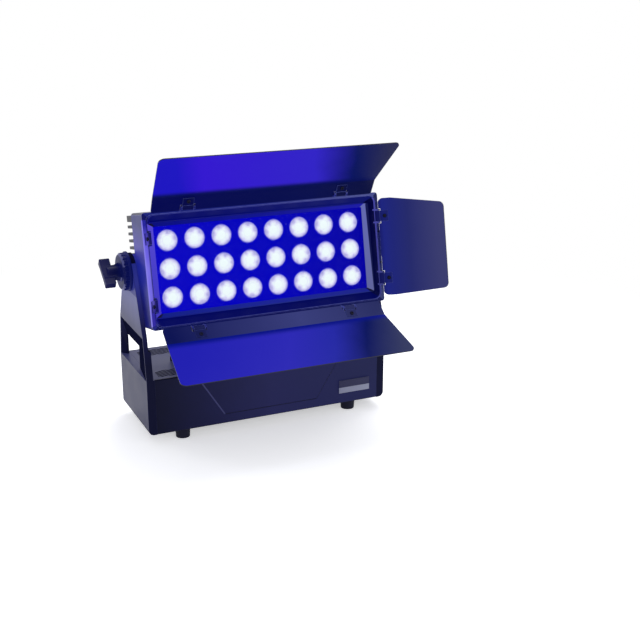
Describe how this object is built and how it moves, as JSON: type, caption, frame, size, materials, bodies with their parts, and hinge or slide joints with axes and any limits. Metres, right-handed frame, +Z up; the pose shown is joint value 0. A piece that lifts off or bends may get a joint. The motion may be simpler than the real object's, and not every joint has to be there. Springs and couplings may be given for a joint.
{
  "type": "led flood light",
  "caption": "Stage flood light: a box base on rubber feet with side arms and hand-holds, a shallow tilting lamp head with a grid of lenses, side knobs and hinged barn doors.",
  "frame": {"origin": "on the floor under the middle of the base", "axes": "+X to the right as seen from the front, the face of the light looks along -Y, +Z up"},
  "size_m": [0.4605, 0.2856, 0.4202],
  "materials": {
    "black_paint": "fine powder coat",
    "arm_casting": "fine powder coat over a casting",
    "head_casting": "fine powder coat over a casting",
    "leaf_paint": "smooth satin coat",
    "black_fins": "black anodised",
    "rubber": "matt",
    "steel": "zinc plated",
    "black_steel": "black oxide",
    "knob_plastic": "fine texture",
    "gland_plastic": "satin",
    "supply_case": "bare",
    "circuit": "solder mask",
    "led_board": "white solder mask",
    "emitter": "clear dome over a yellow die",
    "lens": "clear moulding",
    "lens_plate": "smooth, lit deep blue",
    "clear_glass": "clear",
    "read_out": "smoked window",
    "button": "satin",
    "power_socket": "satin",
    "data_socket": "satin",
    "fuse_plastic": "satin",
    "bush": "smooth"
  },
  "bodies": {
    "base": {"base_housing": "black_paint", "base_top_cover": "black_paint", "rear_panel": "black_paint", "left_arm_frame": "arm_casting", "right_arm_frame": "arm_casting", "rubber_feet": "rubber", "foot_screws": "steel", "rear_panel_screws": "black_steel", "power_supply": "supply_case", "driver_board": "circuit", "display_window": "read_out", "display_board": "circuit", "power_inlet": "power_socket", "power_outlet": "power_socket", "data_inlet": "data_socket", "data_outlet": "data_socket", "fuse_holder": "fuse_plastic", "base_cable_gland": "gland_plastic", "safety_eye": "black_steel", "quarter_turn_sockets": "steel", "left_pivot_bush": "bush", "right_pivot_bush": "bush"},
    "head": {"head_housing": "head_casting", "heatsink": "black_fins", "led_board": "led_board", "led_emitters": "emitter", "lens_array": "lens", "lens_plate": "lens_plate", "front_glass": "clear_glass", "glass_seal": "rubber", "glass_retainer": "head_casting", "front_bezel": "head_casting", "bezel_screws": "black_steel", "pivot_inserts": "steel", "head_cable_gland": "gland_plastic", "barn_door_frame": "black_paint", "door_frame_screws": "black_steel", "hinge_pins": "steel"},
    "menu_button": {"button_menu": "button"},
    "down_button": {"button_down": "button"},
    "up_button": {"button_up": "button"},
    "enter_button": {"button_enter": "button"},
    "fuse_carrier": {"fuse_cap": "fuse_plastic"},
    "left_knob": {"left_tilt_knob": "knob_plastic", "left_knob_stud": "steel"},
    "right_knob": {"right_tilt_knob": "knob_plastic", "right_knob_stud": "steel"},
    "top_leaf": {"top_door": "leaf_paint", "top_door_clips": "black_steel", "top_clip_screws": "steel"},
    "bottom_leaf": {"bottom_door": "leaf_paint", "bottom_door_clips": "black_steel", "bottom_clip_screws": "steel"},
    "left_leaf": {"left_door": "leaf_paint", "left_door_clips": "black_steel", "left_clip_screws": "steel"},
    "right_leaf": {"right_door": "leaf_paint", "right_door_clips": "black_steel", "right_clip_screws": "steel"}
  },
  "joints": [
    {"name": "head_tilt", "type": "hinge", "parent": "base", "child": "head", "pos_m": [0, 0, 0.2416], "axis": [1, 0, 0], "range_deg": [-79, 22]},
    {"name": "top_door_swing", "type": "hinge", "parent": "head", "child": "top_leaf", "pos_m": [0, -0.06003, 0.33925], "axis": [1, 0, 0], "range_deg": [-57, 96]},
    {"name": "bottom_door_swing", "type": "hinge", "parent": "head", "child": "bottom_leaf", "pos_m": [0, -0.09295, 0.17451], "axis": [-1, 0, 0], "range_deg": [-59, 106]},
    {"name": "left_door_swing", "type": "hinge", "parent": "head", "child": "left_leaf", "pos_m": [-0.1745, -0.07649, 0.25688], "axis": [0, 0.1959, 0.9806], "range_deg": [-75, 105]},
    {"name": "right_door_swing", "type": "hinge", "parent": "head", "child": "right_leaf", "pos_m": [0.1745, -0.07649, 0.25688], "axis": [0, -0.1959, -0.9806], "range_deg": [-60, 120]},
    {"name": "left_knob_turn", "type": "hinge", "parent": "head", "child": "left_knob", "pos_m": [-0.19, 0, 0.2416], "axis": [-1, 0, 0], "range_deg": [0, 360]},
    {"name": "right_knob_turn", "type": "hinge", "parent": "head", "child": "right_knob", "pos_m": [0.19, 0, 0.2416], "axis": [1, 0, 0], "range_deg": [0, 360]},
    {"name": "menu_press", "type": "slide", "parent": "base", "child": "menu_button", "axis": [0, -1, 0], "range_m": [0, 0.0008], "stiffness_N_per_m": 400, "springref_m": -0.0005},
    {"name": "down_press", "type": "slide", "parent": "base", "child": "down_button", "axis": [0, -1, 0], "range_m": [0, 0.0008], "stiffness_N_per_m": 400, "springref_m": -0.0005},
    {"name": "up_press", "type": "slide", "parent": "base", "child": "up_button", "axis": [0, -1, 0], "range_m": [0, 0.0008], "stiffness_N_per_m": 400, "springref_m": -0.0005},
    {"name": "enter_press", "type": "slide", "parent": "base", "child": "enter_button", "axis": [0, -1, 0], "range_m": [0, 0.0008], "stiffness_N_per_m": 400, "springref_m": -0.0005},
    {"name": "fuse_cap_turn", "type": "hinge", "parent": "base", "child": "fuse_carrier", "pos_m": [-0.066, 0.072, 0.059], "axis": [0, 1, 0], "range_deg": [0, 90]}
  ]
}
